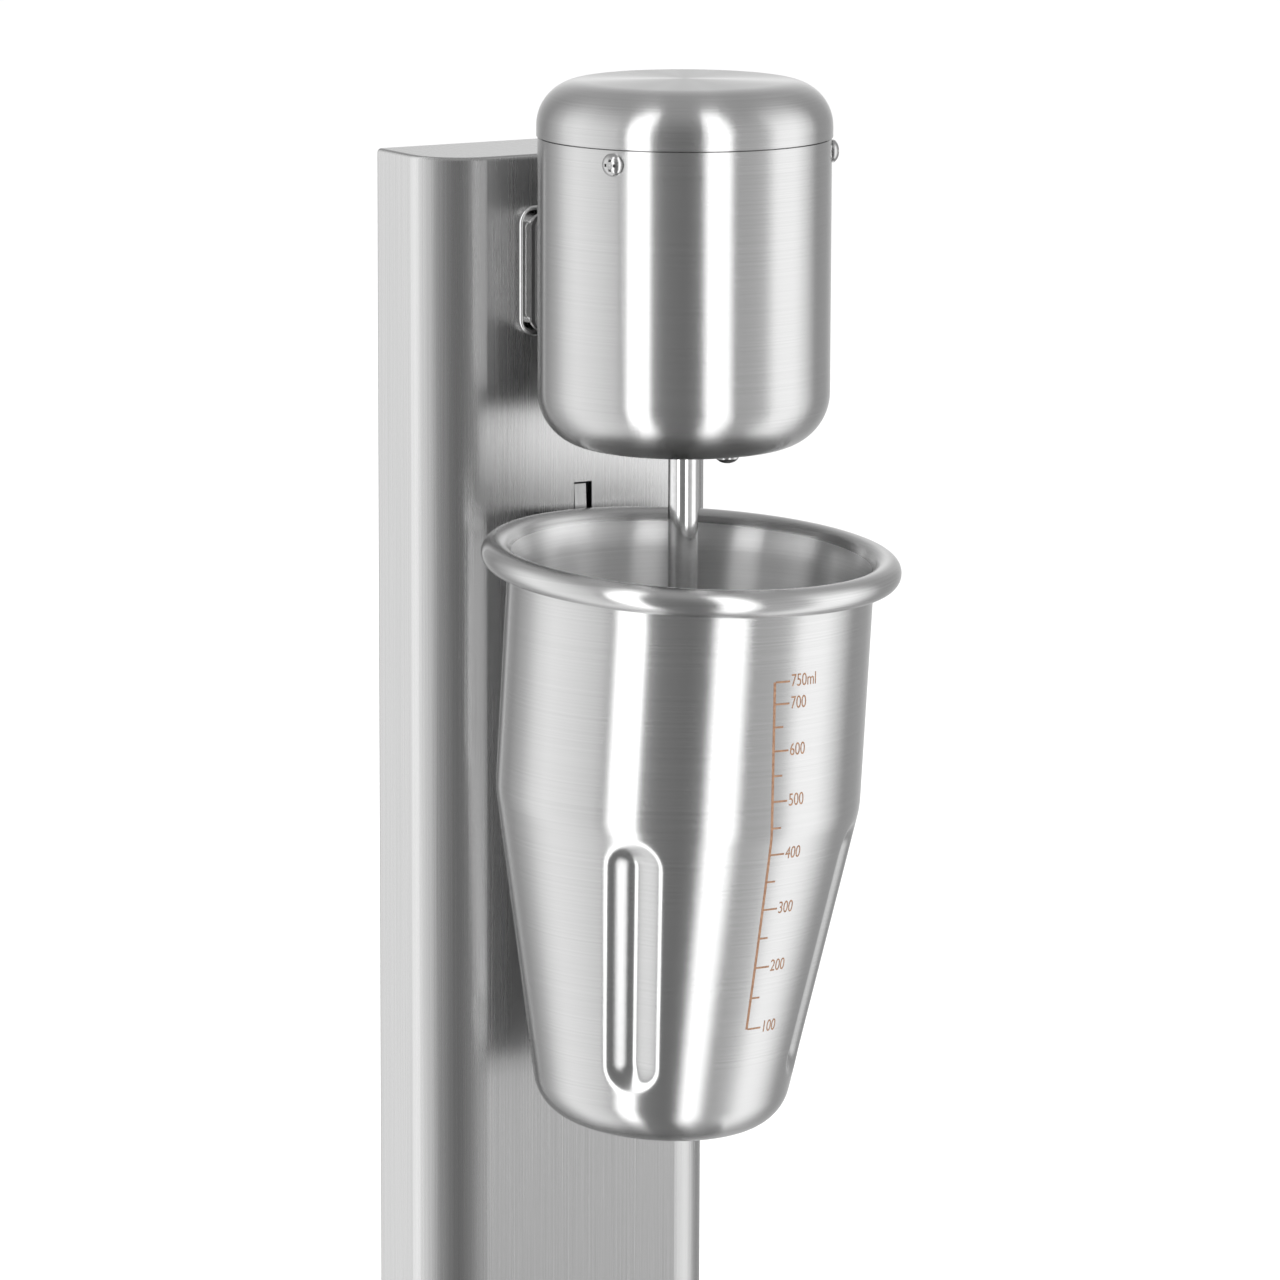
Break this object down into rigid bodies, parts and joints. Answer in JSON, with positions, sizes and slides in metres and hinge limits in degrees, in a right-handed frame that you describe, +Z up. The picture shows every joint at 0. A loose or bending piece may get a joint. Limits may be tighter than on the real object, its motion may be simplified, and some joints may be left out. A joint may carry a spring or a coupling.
{
  "type": "milkshake mixer",
  "caption": "Counter-top drink mixer with a slim steel column, a round motor head, a spindle and a cup hung by its rolled rim from a sprung lever.",
  "frame": {"origin": "on the spindle's axis, at the level of the soles of the feet", "axes": "+Z up along the spindle, -Y to the front, +X to the right seen from the front"},
  "size_m": [0.176, 0.2138, 0.4902],
  "materials": {
    "brushed_steel": "brushed stainless sheet",
    "head_steel": "fine turned stainless, almost polished",
    "cup_steel": "fine turned stainless, bright",
    "polished_steel": "polished stainless",
    "screw_steel": "plated steel screws",
    "zinc_sheet": "zinc-plated sheet",
    "cast_aluminium": "die-cast aluminium",
    "lamination": "stacked silicon steel",
    "copper": "enamelled copper",
    "brass": "brass",
    "carbon": "carbon graphite",
    "black_rubber": "black rubber",
    "black_plastic": "black moulded plastic",
    "white_plastic": "white nylon",
    "grey_plastic": "grey moulded plastic",
    "lead_sheath": "sheathed flexible lead"
  },
  "bodies": {
    "machine": {"base_housing": "brushed_steel", "base_plate": "zinc_sheet", "feet": "black_rubber", "foot_screws": "screw_steel", "speed_switch_body": "black_plastic", "cable_gland": "black_plastic", "gland_seal": "black_rubber", "gland_locknut": "black_plastic", "terminal_block": "white_plastic", "terminal_screws": "screw_steel", "suppression_capacitor": "grey_plastic", "column_shell": "brushed_steel", "back_cover": "brushed_steel", "back_cover_screws": "screw_steel", "column_bracket": "zinc_sheet", "column_bolts": "screw_steel", "neck": "polished_steel", "neck_gasket": "black_rubber", "neck_stiffener": "zinc_sheet", "neck_bolts": "screw_steel", "motor_housing": "head_steel", "motor_cap": "head_steel", "cap_screws": "screw_steel", "shaft_seal": "black_rubber", "motor_screws": "screw_steel", "lower_bearing": "polished_steel", "upper_bearing": "polished_steel", "lower_end_bracket": "cast_aluminium", "upper_end_bracket": "cast_aluminium", "tie_bolts": "screw_steel", "stator_core": "lamination", "field_coils": "copper", "brush_holders": "brass", "carbon_brushes": "carbon", "brush_springs": "screw_steel", "lever_bracket": "zinc_sheet", "lever_pin": "polished_steel", "lever_spring": "screw_steel", "microswitch": "black_plastic", "microswitch_screws": "screw_steel", "motor_lead": "lead_sheath"},
    "rotor": {"spindle": "polished_steel", "agitator": "polished_steel", "agitator_nut": "polished_steel", "armature_core": "lamination", "armature_windings": "copper", "commutator": "copper", "cooling_fan": "black_plastic"},
    "cup": {"cup": "cup_steel"},
    "lever": {"hook_lever": "polished_steel"},
    "start_button": {"microswitch_button": "white_plastic"},
    "rocker": {"speed_rocker": "black_plastic"}
  },
  "joints": [
    {"name": "spindle_spin", "type": "hinge", "parent": "machine", "child": "rotor", "pos_m": [0, 0, 0.4], "axis": [0, 0, 1], "continuous": true},
    {"name": "cup_lift", "type": "slide", "parent": "machine", "child": "cup", "axis": [0.0236, -0.061, 0.9979], "range_m": [0, 0.018]},
    {"name": "lever_press", "type": "hinge", "parent": "machine", "child": "lever", "pos_m": [-0.0009, 0.066, 0.372], "axis": [1, 0, 0], "range_deg": [0, 5], "stiffness_Nm_per_rad": 0.3, "springref_deg": -8.59},
    {"name": "button_press", "type": "slide", "parent": "machine", "child": "start_button", "axis": [0, 0, 1], "range_m": [0, 0.0011]},
    {"name": "rocker_tip", "type": "hinge", "parent": "machine", "child": "rocker", "pos_m": [0.05, -0.1001, 0.029], "axis": [1, 0, 0], "range_deg": [-8, 8]}
  ],
  "couplings": [
    {"joint": "button_press", "follows": "lever_press", "m_per_rad": 0.012}
  ]
}
